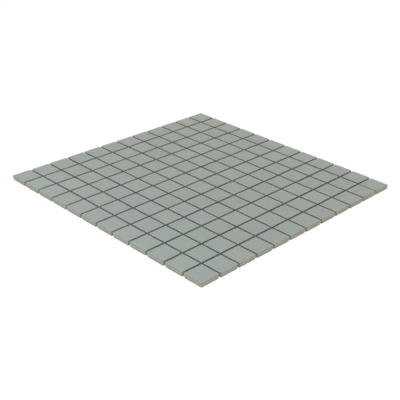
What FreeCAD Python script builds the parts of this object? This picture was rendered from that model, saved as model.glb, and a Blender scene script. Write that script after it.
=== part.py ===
# Mosaic tile sheet: square glazed porcelain tiles, set in rows on a glass fibre backing mesh.
# Millimetres. The sheet lies flat with its faces up: +Z is the way the glazed faces look, X runs along
# the rows, Y across them, and the origin is the middle of the sheet's underside.

import FreeCAD, Part
import os
import random

# The sheet
tiles_in_row = 12
row_count = 12
joint = 2.0                  # nominal gap between neighbouring tiles, later filled with grout
setting_error = 0.12         # how far a tile may sit off its nominal place, either way
setting_seed = 23

# One tile, pressed from porcelain powder and glazed on its face
tile_side = 23.0             # outline of the tile at its widest, just under the eased edge
tile_thickness = 6.0
corner_cut = 0.9             # leg of the cut that eases each upright corner
face_ease_in = 0.6           # the glazed edge comes in by this much
face_ease_down = 0.5         # and starts this far below the face
base_bevel_in = 0.9          # the sides come in this far on the way down to the back
base_bevel_up = 2.2          # over this height

# The backing mesh: flat glass threads, one way on top of the other and bonded where they cross
thread_pitch = 5.0           # nearest pitch; the threads are spread evenly over the mesh
thread_width = 0.9
thread_thickness = 0.2
mesh_margin = 4.0            # the mesh is trimmed this far inside the outline of the tiles

# Tiles that sit visibly off their place: (column, row) counted from the near corner, then the shift
shifted_tiles = {
    (11, 0): (-0.8, 0.0),
}

# Places worked out from the sizes above
tile_pitch = tile_side + joint
sheet_length = tiles_in_row * tile_pitch - joint
sheet_width = row_count * tile_pitch - joint
back_height = 2 * thread_thickness


def tile_outline(inset, height):
    """Corner points of the eight-sided outline, this far inside the widest one, at a height."""
    reach = tile_side / 2 - inset
    start = reach - corner_cut
    corners = [
        (reach, -start), (reach, start), (start, reach), (-start, reach),
        (-reach, start), (-reach, -start), (-start, -reach), (start, -reach),
    ]
    return [FreeCAD.Vector(x, y, height) for x, y in corners]


def face_through(points):
    """A flat face bounded by straight edges through the points."""
    return Part.Face(Part.makePolygon(points + points[:1]))


def stacked_outlines(outlines):
    """A closed solid whose flat sides join each outline to the next one up."""
    faces = [face_through(outlines[0]), face_through(outlines[-1])]
    for lower, upper in zip(outlines, outlines[1:]):
        for i in range(len(lower)):
            j = (i + 1) % len(lower)
            faces.append(face_through([lower[i], lower[j], upper[j], upper[i]]))
    solid = Part.Solid(Part.Shell(faces))
    if solid.Volume < 0:
        solid.reverse()
    return solid


def make_tile():
    """One tile with its back at height 0, centred on Z."""
    return stacked_outlines([
        tile_outline(base_bevel_in, 0),
        tile_outline(0, base_bevel_up),
        tile_outline(0, tile_thickness - face_ease_down),
        tile_outline(face_ease_in, tile_thickness),
    ])


def tile_place(column, row, chance):
    """Where the middle of a tile's back lies, with its small setting error."""
    shift_x, shift_y = shifted_tiles.get((column, row), (0, 0))
    x = (column - (tiles_in_row - 1) / 2) * tile_pitch + shift_x
    y = (row - (row_count - 1) / 2) * tile_pitch + shift_y
    error_x = chance.uniform(-setting_error, setting_error)
    error_y = chance.uniform(-setting_error, setting_error)
    return FreeCAD.Vector(x + error_x, y + error_y, back_height)


def make_tile_rows():
    """One compound of separate tiles for each row, from the near edge (-Y) to the far one."""
    chance = random.Random(setting_seed)
    tile = make_tile()
    rows = []
    for row in range(row_count):
        places = [tile_place(column, row, chance) for column in range(tiles_in_row)]
        rows.append(Part.makeCompound([tile.translated(place) for place in places]))
    return rows


def thread_places(sheet_side):
    """Centre lines of the threads that lie side by side across this much of the sheet."""
    room = sheet_side - 2 * mesh_margin - thread_width
    gaps = round(room / thread_pitch)
    return [(i / gaps - 0.5) * room for i in range(gaps + 1)]


def make_warp():
    """The threads along X, which the backs of the tiles lie on."""
    length = sheet_length - 2 * mesh_margin
    return Part.makeCompound([
        Part.makeBox(length, thread_width, thread_thickness,
                     FreeCAD.Vector(-length / 2, y - thread_width / 2, thread_thickness))
        for y in thread_places(sheet_width)
    ])


def make_weft():
    """The threads along Y, under the warp, which the sheet rests on."""
    length = sheet_width - 2 * mesh_margin
    return Part.makeCompound([
        Part.makeBox(thread_width, length, thread_thickness,
                     FreeCAD.Vector(x - thread_width / 2, -length / 2, 0))
        for x in thread_places(sheet_length)
    ])


def main():
    os.makedirs("parts", exist_ok=True)
    for number, row in enumerate(make_tile_rows(), start=1):
        row.exportStep(f"parts/tile_row_{number:02d}.step")
    make_warp().exportStep("parts/mesh_warp.step")
    make_weft().exportStep("parts/mesh_weft.step")


main()
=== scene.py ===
import bpy
import math
import numpy as np
from mathutils import Matrix, Vector


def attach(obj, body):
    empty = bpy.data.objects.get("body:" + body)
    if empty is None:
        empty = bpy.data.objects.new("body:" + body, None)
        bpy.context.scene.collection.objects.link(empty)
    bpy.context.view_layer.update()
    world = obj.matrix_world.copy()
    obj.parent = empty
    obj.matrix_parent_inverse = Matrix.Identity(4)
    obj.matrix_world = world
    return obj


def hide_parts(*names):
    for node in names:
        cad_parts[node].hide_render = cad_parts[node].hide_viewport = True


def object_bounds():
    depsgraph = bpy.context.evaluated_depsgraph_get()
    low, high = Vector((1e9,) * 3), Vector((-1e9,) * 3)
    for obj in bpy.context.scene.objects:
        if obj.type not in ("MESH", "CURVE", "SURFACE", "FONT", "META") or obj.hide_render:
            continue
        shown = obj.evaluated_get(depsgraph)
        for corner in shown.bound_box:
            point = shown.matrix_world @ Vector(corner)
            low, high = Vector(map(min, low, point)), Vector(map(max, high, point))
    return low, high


# Looks of a mosaic tile sheet: matt glazed porcelain tiles on a woven glass fibre mesh, face up on a studio
# floor. Lengths in the dictionaries are in millimetres, except those of the studio.
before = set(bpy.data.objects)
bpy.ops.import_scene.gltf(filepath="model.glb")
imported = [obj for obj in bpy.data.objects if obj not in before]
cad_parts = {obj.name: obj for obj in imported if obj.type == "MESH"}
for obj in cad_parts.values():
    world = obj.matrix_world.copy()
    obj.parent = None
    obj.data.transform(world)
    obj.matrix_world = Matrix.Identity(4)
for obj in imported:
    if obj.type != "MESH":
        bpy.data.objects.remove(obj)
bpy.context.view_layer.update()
print("stage: frame loaded,", len(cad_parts), "nodes")

mm = 0.001        # one millimetre in the scene's metres
chance = np.random.default_rng(7)


def linear(hexColour):
    # sRGB hex to linear light: the low end is a straight line, the rest a power of 2.4
    srgb = [int(hexColour[i:i + 2], 16) / 255 for i in (1, 3, 5)]
    return [c / 12.92 if c <= 0.04045 else ((c + 0.055) / 1.055) ** 2.4 for c in srgb] + [1.0]


def addNode(tree, kind, settings=None, links=None):
    # Adds one node. A setting is one of its own properties or a plain value for an input, and a link feeds
    # an input from another node's output. An input is given by its name or its number.
    node = tree.nodes.new("ShaderNode" + kind)
    for name, value in (settings or {}).items():
        if isinstance(name, str) and hasattr(node, name):
            setattr(node, name, value)
        else:
            node.inputs[name].default_value = value
    for name, source in (links or {}).items():
        tree.links.new(source, node.inputs[name])
    return node


def newMaterial(name):
    material = bpy.data.materials.new(name)
    material.use_nodes = True
    material.node_tree.nodes.clear()
    return material, material.node_tree


def meshObject(name, points, faces, material):
    # One piece from points in metres and arrays of faces, smooth, with its place in its mesh
    mesh = bpy.data.meshes.new(name)
    mesh.from_pydata(points.tolist(), [], [face for group in faces for face in group.tolist()])
    mesh.polygons.foreach_set("use_smooth", np.ones(len(mesh.polygons), dtype=bool))
    mesh.materials.append(material)
    mesh.update()
    piece = bpy.data.objects.new(name, mesh)
    bpy.context.scene.collection.objects.link(piece)
    return piece


def copies(pointCount, faces, count):
    # Faces for many copies of one shape: those of copy k count on from k times the shape's points
    step = np.arange(count)[:, None, None] * pointCount
    return [(group[None] + step).reshape(-1, group.shape[1]) for group in faces]


def solidBoxes(node, axis):
    # Lowest and highest corners, in millimetres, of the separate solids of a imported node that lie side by
    # side along an axis: its triangles are taken in order, and a new solid starts where a triangle begins
    # beyond all that came before it
    corners = np.zeros(len(node.data.vertices) * 3)
    node.data.vertices.foreach_get("co", corners)
    used = np.zeros(len(node.data.polygons) * 3, dtype=int)
    node.data.polygons.foreach_get("vertices", used)
    triangles = corners.reshape(-1, 3)[used].reshape(-1, 3, 3) / mm
    lowest, highest = triangles.min(1), triangles.max(1)
    order = np.argsort(lowest[:, axis])
    reach = np.maximum.accumulate(highest[order, axis])
    starts = np.append(0, np.nonzero(lowest[order[1:], axis] > reach[:-1])[0] + 1)
    return np.minimum.reduceat(lowest[order], starts), np.maximum.reduceat(highest[order], starts)


# A tile, pressed from porcelain powder
tileForm = {
    "clearance": 0.06,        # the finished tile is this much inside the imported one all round
    "cornerRadius": 0.5,      # upright corners
    "cornerSteps": 4,         # an even number, because the middle of a corner is a corner of the back
    "easeIn": 0.45,           # the rounded edge of the face comes in by this much
    "easeDown": 0.45,         # and starts this far below the face
    "easeSteps": 5,
    "crown": 0.06,            # the middle of the face stands this much above its rim
    "faceRings": (0.4, 0.75, 0.93),  # rings of points on the face, as shares of the way out to its rim
    "bevelIn": 0.9,           # the base comes in by this much
    "bevelUp": 2.2,           # over this height
    "baseRound": 0.2,         # rounding where the base meets the back
    "rim": 1.8,               # flat rim round the back
    "recess": 0.4,            # depth of the hollows in the back
    "recessSlope": 0.4,       # width of the slope from the rim into them
    "ribs": (-0.34, 0.34),    # middles of the ribs that part the hollows, as shares of half the back
    "ribHalf": 0.045,         # half a rib's width, as a share of half the back
    "ribSlope": 0.05,         # width of its sloping flank, as such a share
    "turn": 0.12,             # how far a tile may be turned as it is set, in degrees
    "tilt": 0.10,             # and tilted
}


def outlineDirections(form):
    # The outline of a rounded square as signs * (half side - radius) + unit arc direction * radius. Each
    # side runs from the middle of one corner to the middle of the next, with points where the ribs of the
    # back need them.
    arc = np.linspace(0, np.pi / 4, form["cornerSteps"] // 2 + 1)
    flank = form["ribHalf"] + form["ribSlope"]
    lines = np.sort([rib + way * offset for rib in form["ribs"] for way in (-1, 1)
                     for offset in (form["ribHalf"], flank)])
    corner = np.ones(len(arc) - 1)
    across = np.concatenate([-corner, [-1.0], lines, [1.0], corner])[:-1]
    angle = np.concatenate([-np.pi / 4 + arc, np.zeros(len(lines)), arc])[:-1]
    signs, units = [], []
    for c, s in ((1, 0), (0, 1), (-1, 0), (0, -1)):        # cosine and sine of each quarter turn
        signs.append(np.c_[c - s * across, s + c * across])
        ux, uy = np.cos(angle), np.sin(angle)
        units.append(np.c_[c * ux - s * uy, s * ux + c * uy])
    return np.vstack(signs), np.vstack(units)


def tileRings(form, height):
    # Rings from the middle of the face outwards, over its rounded edge (a quarter ellipse), down the side,
    # in along the base, round the bottom edge and over the rim of the back. Each is inset, height and share
    # of the outline. The face falls from its middle to its rim by the crown times the share squared.
    slope = form["bevelIn"] / form["bevelUp"]
    soft = form["baseRound"]
    shares = np.array(form["faceRings"])
    face = np.c_[np.full(len(shares), form["easeIn"]), height - form["crown"] * shares ** 2, shares]
    turn = np.linspace(0, np.pi / 2, form["easeSteps"] + 1)
    ease = np.c_[form["easeIn"] * (1 - np.sin(turn)),
                 height - form["crown"] - form["easeDown"] * (1 - np.cos(turn)),
                 np.ones(len(turn))]
    bend = 0.3 * soft        # the middle of a quarter round lies this far in from both its sides
    below = [(0, form["bevelUp"] + soft, 1),
             (slope * soft, form["bevelUp"] - soft, 1),
             (form["bevelIn"] - slope * soft, soft, 1),
             (form["bevelIn"] + bend, bend, 1),
             (form["bevelIn"] + soft, 0, 1),
             (form["bevelIn"] + form["rim"], 0, 1)]
    return np.vstack([face, ease, below])


def backPatch(edge, sideCount):
    # Fills a closed edge of four equal sides by blending opposite sides: each point is the blend across
    # plus the blend along, less the blend of the four corners
    side = [edge[np.arange(k * sideCount, (k + 1) * sideCount + 1) % len(edge)] for k in range(4)]
    right, far, left, near = side[0], side[1][::-1], side[2][::-1], side[3]
    u = np.linspace(0, 1, sideCount + 1)[:, None, None]
    v = np.linspace(0, 1, sideCount + 1)[None, :, None]
    alongU = (1 - u) * left[None] + u * right[None]
    alongV = (1 - v) * near[:, None] + v * far[:, None]
    corners = (1 - u) * ((1 - v) * left[0] + v * left[-1]) + u * ((1 - v) * right[0] + v * right[-1])
    return alongU + alongV - corners


def ribHeight(places, form, half):
    # 1 on a rib, 0 in a hollow and a straight flank between: the higher of the ribs along X and along Y
    far = np.min([np.abs(places / half - rib) for rib in form["ribs"]], axis=0)
    band = np.clip((form["ribHalf"] + form["ribSlope"] - far) / form["ribSlope"], 0, 1)
    return band.max(-1)


def tileSurface(form, side, height):
    # One tile about its own middle with its back at 0: every ring carried round the outline, a point that
    # closes the middle of the face, and a ribbed patch that closes the back
    signs, units = outlineDirections(form)
    inset, level, share = tileRings(form, height).T[..., None, None]
    radius = form["cornerRadius"]
    flat = (signs[None] * (side / 2 - inset - radius) + units[None] * radius) * share
    points = np.concatenate([flat, np.broadcast_to(level, flat.shape[:2] + (1,))], axis=-1)
    ringCount, around = points.shape[:2]
    # the hollows start inside the rim, at the foot of their slope
    inner = flat[-1] * (1 - form["recessSlope"] / np.abs(flat[-1]).max())
    sideCount = around // 4
    patch = backPatch(inner, sideCount)
    lift = form["recess"] * (1 - ribHeight(patch, form, np.abs(inner).max()))
    patch = np.concatenate([patch, lift[..., None]], axis=-1)
    allPoints = np.vstack([points.reshape(-1, 3), [[0, 0, height]], patch.reshape(-1, 3)])
    first = np.arange(around)
    after = (first + 1) % around
    down = np.arange(ringCount - 1)[:, None] * around
    bands = np.stack([down + first, down + around + first, down + around + after, down + after], -1)
    fan = np.c_[np.full(around, ringCount * around), first, after]
    # numbering of the patch, and its edge in the order of the outline
    grid = ringCount * around + 1 + np.arange((sideCount + 1) ** 2).reshape(sideCount + 1, sideCount + 1)
    edge = np.concatenate([grid[-1, :-1], grid[::-1, -1][:-1], grid[0, ::-1][:-1], grid[:-1, 0]])
    last = (ringCount - 1) * around
    join = np.stack([last + first, edge[first], edge[after], last + after], -1)
    cells = np.stack([grid[:-1, :-1], grid[:-1, 1:], grid[1:, 1:], grid[1:, :-1]], -1)
    quads = np.vstack([bands.reshape(-1, 4), join, cells.reshape(-1, 4)])
    return allPoints, [quads, fan]


def setTiles(points, middles, form):
    # Copies of one tile at their places. A small chance turn moves x by -turn * y and y by turn * x, and a
    # small chance tilt lifts z by tilt * x and tilt * y.
    count = len(middles)
    turn = np.radians(chance.uniform(-form["turn"], form["turn"], count))[:, None]
    tiltX, tiltY = np.radians(chance.uniform(-form["tilt"], form["tilt"], (2, count)))[..., None]
    x, y, z = points.T
    placed = np.stack([x - turn * y, y + turn * x, z + tiltX * x + tiltY * y], -1)
    return placed + middles[:, None]


# Its finish: a matt celadon glaze sprayed on the face, over the bare pressed body. The bands round the body
# are painted light and painted shade; each is its height, how far it fades both ways, and how much paler it
# is.
tileFinish = {
    "coolGlaze": "#9cabac",
    "warmGlaze": "#a6aaa3",
    "body": "#acb0a4",
    "toneStep": 0.018,        # usual difference in lightness from tile to tile
    "hueStep": 0.05,          # usual difference in hue, where 1 is all the way from cool to warm
    "hueDrift": (0.1, 0.06),  # change of hue from the middle of the sheet to its edge, along X and along Y
    "hueRim": 0.08,           # and from the middle of a tile to its rim
    "hueSpan": (0.5, 0.9),    # which it makes between these shares of the way out
    "mottle": 0.07,           # light and dark in the glaze
    "mottleSize": 1.6,
    "cloudSize": 7.0,         # cool and warm patches in the glaze
    "glazeRoughness": 0.5,
    "bodyRoughness": 0.8,
    "glazeLine": 5.7,         # height above the floor at which the glaze ends
    "glazeFade": 0.9,         # height over which it thins out
    "ragged": 0.5,            # how far that line strays up and down
    "raggedSize": 3.0,        # length of its waves
    "grain": 0.1,             # light and dark in the body
    "grainSize": 0.3,         # drawn coarser than powder grain so that it shows
    "relief": 0.03,           # height of the grain and the mottle
    "paintedLightBelt": (3.9, 1.1, 0.11),    # painted light: a paler band round the middle of the side
    "paintedShadeFoot": (1.2, 1.8, -0.15),   # painted shade: darker towards the foot, which faces down to the floor
    "edge": (5.35, 0.8, -0.14),  # painted shade over the rounded edge and the upper side, where the glaze ends
}


def firedTones(finish, middles, share):
    # No two tiles come out of the kiln quite alike: tone runs from dark to light and hue from cool to warm,
    # each by a chance step for every tile. Hue also drifts in proportion to the place on the sheet, and warms
    # in a straight line with the share of the way out to a tile's rim, where the glaze is thinner.
    scatter = chance.normal(0, 1, (2, len(middles), 1)).clip(-2, 2)
    drift = middles[:, :2] @ finish["hueDrift"] / middles[:, 0].max()
    rim = finish["hueRim"] * np.interp(share, finish["hueSpan"], (0, 1))
    hue = finish["hueStep"] * scatter[1] + drift[:, None] + rim
    return {"tone": np.broadcast_to(finish["toneStep"] * scatter[0], hue.shape), "hue": hue}


def buildTileRow(nodeName, form, finish, material):
    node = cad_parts[nodeName]
    low, high = solidBoxes(node, 0)
    size = (high - low).mean(0)
    points, faces = tileSurface(form, size[0] - 2 * form["clearance"], size[2] - form["clearance"])
    middles = (low + high) / 2
    middles[:, 2] = low[:, 2]
    placed = setTiles(points, middles, form)
    row = meshObject(nodeName.replace("tile_row", "tiles"), placed.reshape(-1, 3) * mm,
                     copies(len(points), faces, len(low)), material)
    share = np.abs(points[:, :2]).max(1) / (size[0] / 2)
    for name, value in firedTones(finish, middles, share).items():
        row.data.attributes.new(name, "FLOAT", "POINT").data.foreach_set("value", value.ravel())
    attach(row, "root")
    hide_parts(node.name)


def heightBand(tree, height, band):
    # A level band round a tile: 1 + lift at its middle height, straight back to 1 over its reach both ways
    middle, reach, lift = band
    above = addNode(tree, "Math", {"operation": "SUBTRACT", 1: middle * mm}, {0: height})
    apart = addNode(tree, "Math", {"operation": "ABSOLUTE"}, {0: above.outputs[0]})
    return addNode(tree, "MapRange", {"From Max": reach * mm, "To Min": 1 + lift, "To Max": 1.0},
                   {"Value": apart.outputs[0]}).outputs["Result"]


def glazedPorcelain(finish):
    # Matt glazed porcelain, pressed and fired. The eye sees an even, soft grey green face with a faint
    # mottle, a rounded edge where the glaze thins, and a drier, warmer body below it. Painted shade darkens
    # the edge, the upper side and the foot, and painted light makes a paler band round the middle of the
    # side.
    material, tree = newMaterial("mattGlazedPorcelain")
    place = addNode(tree, "TexCoord").outputs["Object"]
    height = addNode(tree, "SeparateXYZ", links={0: place}).outputs["Z"]

    # the glaze: tone and mottle make it light or dark, hue and clouds cool or warm
    mottle = addNode(tree, "TexNoise", {"Scale": 1 / (finish["mottleSize"] * mm), "Detail": 3.0},
                     {"Vector": place})
    shade = addNode(tree, "MapRange", {"To Min": 1 - finish["mottle"], "To Max": 1 + finish["mottle"]},
                    {"Value": mottle.outputs["Fac"]})
    tone = addNode(tree, "Attribute", {"attribute_name": "tone"})
    lightness = addNode(tree, "Math", {"operation": "ADD"},
                        {0: tone.outputs["Fac"], 1: shade.outputs["Result"]})
    clouds = addNode(tree, "TexNoise", {"Scale": 1 / (finish["cloudSize"] * mm), "Detail": 2.0},
                     {"Vector": place})
    hue = addNode(tree, "Attribute", {"attribute_name": "hue"})
    warmth = addNode(tree, "Math", {"operation": "ADD"}, {0: hue.outputs["Fac"], 1: clouds.outputs["Fac"]})
    glaze = addNode(tree, "Mix", {"data_type": "RGBA", 6: linear(finish["coolGlaze"]),
                                  7: linear(finish["warmGlaze"])}, {0: warmth.outputs[0]})
    face = addNode(tree, "VectorMath", {"operation": "SCALE"},
                   {0: glaze.outputs[2], "Scale": lightness.outputs[0]})

    # the body: fine grain, with painted light in a band round its middle and painted shade at its foot
    grain = addNode(tree, "TexNoise", {"Scale": 1 / (finish["grainSize"] * mm), "Detail": 2.0},
                    {"Vector": place})
    bodyGrainAndShade = addNode(tree, "MapRange", {"To Min": 1 - finish["grain"], "To Max": 1 + finish["grain"]},
                       {"Value": grain.outputs["Fac"]}).outputs["Result"]
    for name in ("paintedLightBelt", "paintedShadeFoot"):
        band = heightBand(tree, height, finish[name])
        bodyGrainAndShade = addNode(tree, "Math", {"operation": "MULTIPLY"}, {0: bodyGrainAndShade, 1: band}).outputs[0]
    body = addNode(tree, "VectorMath", {"operation": "SCALE", 0: linear(finish["body"])[:3]},
                   {"Scale": bodyGrainAndShade})

    # how far the glaze covers the body: from none to all as the height passes the stray glaze line
    stray = addNode(tree, "TexNoise", {"Scale": 1 / (finish["raggedSize"] * mm), "Detail": 2.0},
                    {"Vector": place})
    ragged = addNode(tree, "Math", {"operation": "MULTIPLY_ADD", 1: finish["ragged"] * mm},
                     {0: stray.outputs["Fac"], 2: height})
    middle = finish["glazeLine"] + finish["ragged"] / 2
    cover = addNode(tree, "MapRange", {"interpolation_type": "SMOOTHSTEP",
                                       "From Min": (middle - finish["glazeFade"] / 2) * mm,
                                       "From Max": (middle + finish["glazeFade"] / 2) * mm},
                    {"Value": ragged.outputs[0]}).outputs["Result"]
    colour = addNode(tree, "Mix", {"data_type": "RGBA"},
                     {0: cover, 6: body.outputs["Vector"], 7: face.outputs["Vector"]})
    # painted shade: darker over the rounded edge, the upper side and the tops of the joints
    edge = heightBand(tree, height, finish["edge"])
    shadedColour = addNode(tree, "VectorMath", {"operation": "SCALE"}, {0: colour.outputs[2], "Scale": edge})
    rough = addNode(tree, "MapRange", {"To Min": finish["bodyRoughness"], "To Max": finish["glazeRoughness"]},
                    {"Value": cover})
    relief = addNode(tree, "Mix", {"data_type": "FLOAT"},
                     {0: cover, 2: grain.outputs["Fac"], 3: mottle.outputs["Fac"]})
    bump = addNode(tree, "Bump", {"Strength": 0.6, "Distance": finish["relief"] * mm},
                   {"Height": relief.outputs[0]})
    surface = addNode(tree, "BsdfPrincipled", {"IOR": 1.5, "Specular IOR Level": 0.35},
                      {"Base Color": shadedColour.outputs["Vector"], "Roughness": rough.outputs["Result"],
                       "Normal": bump.outputs["Normal"]})
    addNode(tree, "OutputMaterial", links={"Surface": surface.outputs[0]})
    return material


tileMaterial = glazedPorcelain(tileFinish)
for rowName in sorted(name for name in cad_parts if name.startswith("tile_row")):
    buildTileRow(rowName, tileForm, tileFinish, tileMaterial)
print("stage: tiles built")


# The backing mesh: a leno weave, two fine yarns of warp twisted round each flat yarn of weft
meshForm = {
    "warpWidth": 0.45,        # each of the two yarns of a pair
    "warpThick": 0.14,
    "warpSwing": 0.2,         # how far a yarn swings to each side of its pair's middle
    "weftWidth": 0.9,
    "weftThick": 0.12,
    "wander": 0.15,           # how far a yarn strays from its straight line
    "waves": ((31, 0.6), (13, 0.4)),  # each wave's length over two pi, and its share of that
    "stepsPerPitch": 3,
    "sides": 4,
}


def yarns(paths, width, thick, sides):
    # Closed yarns along paths (yarn, step, 3) that run in a plane: at each step a flat ellipse stands across
    # the path's level direction, and one point closes each end
    ahead = np.gradient(paths, axis=1)
    across = np.stack([-ahead[..., 1], ahead[..., 0]], -1)
    across /= np.linalg.norm(across, axis=-1, keepdims=True)
    angle = np.arange(sides) * 2 * np.pi / sides
    reach = across[:, :, None] * (width / 2 * np.cos(angle))[:, None]
    rise = np.broadcast_to(thick / 2 * np.sin(angle), reach.shape[:3])[..., None]
    rings = paths[:, :, None] + np.concatenate([reach, rise], -1)
    count, steps = paths.shape[:2]
    points = np.concatenate([rings.reshape(count, -1, 3), paths[:, :1], paths[:, -1:]], axis=1)
    first = np.arange(sides)
    after = (first + 1) % sides
    along = np.arange(steps - 1)[:, None] * sides
    wall = np.stack([along + first, along + after, along + sides + after, along + sides + first], -1)
    last = (steps - 1) * sides
    ends = np.vstack([np.c_[np.full(sides, steps * sides), after, first],
                      np.c_[np.full(sides, steps * sides + 1), last + first, last + after]])
    return points.reshape(-1, 3), copies(points.shape[1], [wall.reshape(-1, 4), ends], count)


def wander(form, along, count):
    # Slow waves sideways, one set for each yarn: sines of the place along it, with chance phases
    phases = chance.uniform(0, 2 * np.pi, (len(form["waves"]), count, 1))
    return form["wander"] * sum(share * np.sin(along / length + phase)
                                for (length, share), phase in zip(form["waves"], phases))


def buildMesh(form, material):
    # Warp yarns swing aside by the sine and up and down by the cosine of half a turn for each weft yarn.
    # Weft yarns run straight. Both wander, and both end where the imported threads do.
    warpLow, warpHigh = solidBoxes(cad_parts["mesh_warp"], 1)
    weftLow, weftHigh = solidBoxes(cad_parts["mesh_weft"], 0)
    middle = weftHigh[0, 2]
    warpPlaces = (warpLow + warpHigh)[:, 1] / 2
    weftPlaces = (weftLow + weftHigh)[:, 0] / 2
    pitch = np.diff(weftPlaces).mean()

    steps = np.arange(0, (len(weftPlaces) - 1) * form["stepsPerPitch"] + 1) / form["stepsPerPitch"]
    x = weftPlaces[0] + steps * pitch
    x[0], x[-1] = warpLow[0, 0], warpHigh[0, 0]
    drift = wander(form, x, len(warpPlaces))
    # each yarn of a pair goes over one weft and under the next, and swaps sides between them
    rise = middle - form["warpThick"] / 2
    pairs = []
    for way in (-1, 1):
        y = warpPlaces[:, None] + drift + way * form["warpSwing"] * np.sin(np.pi * steps)
        z = middle + way * rise * np.cos(np.pi * steps)
        pairs.append(np.stack([np.broadcast_to(x, y.shape), y, np.broadcast_to(z, y.shape)], -1))
    points, faces = yarns(np.concatenate(pairs), form["warpWidth"], form["warpThick"], form["sides"])
    warp = meshObject("mesh_yarns_along", points * mm, faces, material)
    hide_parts("mesh_warp")

    y = np.linspace(weftLow[0, 1], weftHigh[0, 1], 2 * len(warpPlaces))
    x = weftPlaces[:, None] + wander(form, y, len(weftPlaces))
    paths = np.stack([x, np.broadcast_to(y, x.shape), np.full(x.shape, middle)], -1)
    points, faces = yarns(paths, form["weftWidth"], form["weftThick"], 2 * form["sides"])
    weft = meshObject("mesh_yarns_across", points * mm, faces, material)
    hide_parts("mesh_weft")
    for piece in (warp, weft):
        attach(piece, "root")


# The finish of its yarns. The streaks are drawn far coarser than a glass filament, so that they show.
meshFinish = {
    "yarn": "#dddcd2",
    "filament": 0.12,         # width of the streaks
    "streaks": (0.86, 1.06),  # the darkest and the lightest, as shares of the yarn's colour
    "roughness": 0.55,
}


def coatedGlassYarn(finish):
    # Glass fibre yarn, woven and coated with resin. The eye sees off white flat yarns with fine streaks and
    # a slight shine.
    material, tree = newMaterial("coatedGlassYarn")
    place = addNode(tree, "TexCoord").outputs["Object"]
    streaks = addNode(tree, "TexNoise", {"Scale": 1 / (finish["filament"] * mm), "Detail": 1.0},
                      {"Vector": place})
    darkest, lightest = finish["streaks"]
    shade = addNode(tree, "MapRange", {"To Min": darkest, "To Max": lightest},
                    {"Value": streaks.outputs["Fac"]})
    colour = addNode(tree, "VectorMath", {"operation": "SCALE", 0: linear(finish["yarn"])[:3]},
                     {"Scale": shade.outputs["Result"]})
    surface = addNode(tree, "BsdfPrincipled", {"IOR": 1.5, "Roughness": finish["roughness"]},
                      {"Base Color": colour.outputs["Vector"]})
    addNode(tree, "OutputMaterial", links={"Surface": surface.outputs[0]})
    return material


buildMesh(meshForm, coatedGlassYarn(meshFinish))
print("stage: backing mesh built")


# The photograph's view: the camera looks past a near corner of the sheet, along its diagonal
cameraSetup = {
    "aim": (-36.25, -34.32),  # point on the top plane in the middle of the picture
    "distance": 828.85,
    "heading": 44.17,         # degrees from X towards Y
    "lookDown": 27.08,
    "roll": 1.75,
    "lens": 70.11,
    "sensor": 36.0,
}


def buildCamera(setup, topHeight):
    camera = bpy.data.cameras.new("camera")
    camera.sensor_width = setup["sensor"]
    camera.lens = setup["lens"]
    holder = bpy.data.objects.new("camera", camera)
    bpy.context.scene.collection.objects.link(holder)
    turn = Matrix.Rotation(math.radians(setup["heading"] - 90), 4, "Z")
    tip = Matrix.Rotation(math.radians(90 - setup["lookDown"]), 4, "X")
    roll = Matrix.Rotation(math.radians(setup["roll"]), 4, "Z")
    aim = Vector((setup["aim"][0] * mm, setup["aim"][1] * mm, topHeight))
    back = Matrix.Translation((0, 0, setup["distance"] * mm))
    holder.matrix_world = Matrix.Translation(aim) @ turn @ tip @ roll @ back
    bpy.context.scene.camera = holder


# Studio light, in metres and watts: a large softbox overhead, a low strip of light before each side and a
# faint even surround. Each lamp is its place, size, power and colour.
lightSetup = {
    "surround": 0.05,
    "lamps": {
        "key": ((0.0, 0.0, 4.0), (2.4, 2.4), 114.5, "#fffcf5"),
        "left": ((-0.45, 0.0, 0.12), (0.7, 0.16), 0.8, "#f8faff"),
        "right": ((0.0, -0.6, 0.06), (1.2, 0.1), 1.3, "#fff9f4"),
        "far": ((0.0, 0.6, 0.06), (1.2, 0.1), 0.3, "#ffffff"),
        "back": ((0.6, 0.0, 0.06), (1.2, 0.1), 0.3, "#ffffff"),
    },
    "floor": "#cac6b8",
    "floorSize": 12.0,
    "floorGlow": 0.975,       # light of its own where the camera sees the floor, so that it turns white
    "floorShade": 0.12,       # share of its real light and shade that is left there
}


def seenDirectly(tree):
    # 1 for what the camera sees, straight or in a reflection or through glass
    paths = addNode(tree, "LightPath")
    mirror = addNode(tree, "Math", {"operation": "MAXIMUM"},
                     {0: paths.outputs["Is Camera Ray"], 1: paths.outputs["Is Glossy Ray"]})
    return addNode(tree, "Math", {"operation": "MAXIMUM"},
                   {0: mirror.outputs[0], 1: paths.outputs["Is Transmission Ray"]}).outputs[0]


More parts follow.
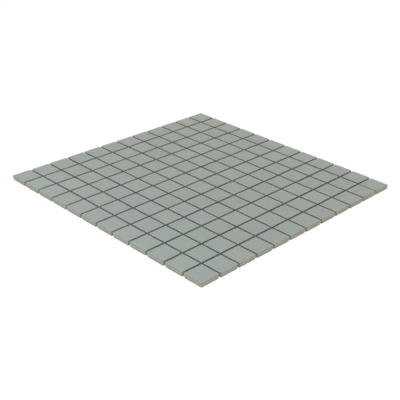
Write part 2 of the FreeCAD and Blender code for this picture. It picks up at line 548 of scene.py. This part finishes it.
def buildWorld(setup):
    world = bpy.data.worlds.new("studio")
    bpy.context.scene.world = world
    world.use_nodes = True
    tree = world.node_tree
    tree.nodes.clear()
    surround = addNode(tree, "Background", {"Color": (1, 1, 1, 1), "Strength": setup["surround"]})
    backdrop = addNode(tree, "Background", {"Color": (1, 1, 1, 1), "Strength": 1.0})
    mix = addNode(tree, "MixShader",
                  links={0: seenDirectly(tree), 1: surround.outputs[0], 2: backdrop.outputs[0]})
    addNode(tree, "OutputWorld", links={"Surface": mix.outputs[0]})


def buildFloor(setup):
    bpy.ops.mesh.primitive_plane_add(size=setup["floorSize"])
    floor = bpy.context.object
    floor.name = "floor"
    material, tree = newMaterial("studioFloor")
    seen = seenDirectly(tree)
    real = linear(setup["floor"])
    dimmed = [setup["floorShade"] * part for part in real[:3]] + [1.0]
    colour = addNode(tree, "Mix", {"data_type": "RGBA", 6: real, 7: dimmed}, {0: seen})
    paper = addNode(tree, "BsdfDiffuse", links={"Color": colour.outputs[2]})
    level = addNode(tree, "Math", {"operation": "MULTIPLY", 1: setup["floorGlow"]}, {0: seen})
    glow = addNode(tree, "Emission", {"Color": (1, 1, 1, 1)}, {"Strength": level.outputs[0]})
    both = addNode(tree, "AddShader", links={0: paper.outputs[0], 1: glow.outputs[0]})
    addNode(tree, "OutputMaterial", links={"Surface": both.outputs[0]})
    floor.data.materials.append(material)


def buildLamp(name, place, size, power, colour):
    # A softbox that faces the middle of the sheet
    light = bpy.data.lights.new(name, "AREA")
    light.shape = "RECTANGLE"
    light.size, light.size_y = size
    light.energy = power
    light.color = linear(colour)[:3]
    holder = bpy.data.objects.new(name, light)
    bpy.context.scene.collection.objects.link(holder)
    face = (-Vector(place)).to_track_quat("-Z", "Y").to_matrix().to_4x4()
    holder.matrix_world = Matrix.Translation(place) @ face
    holder.visible_camera = False


buildCamera(cameraSetup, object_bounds()[1].z)
buildWorld(lightSetup)
buildFloor(lightSetup)
for lampName, lamp in lightSetup["lamps"].items():
    buildLamp(lampName, *lamp)
bpy.context.scene.view_settings.view_transform = "Standard"
print("stage: studio built")
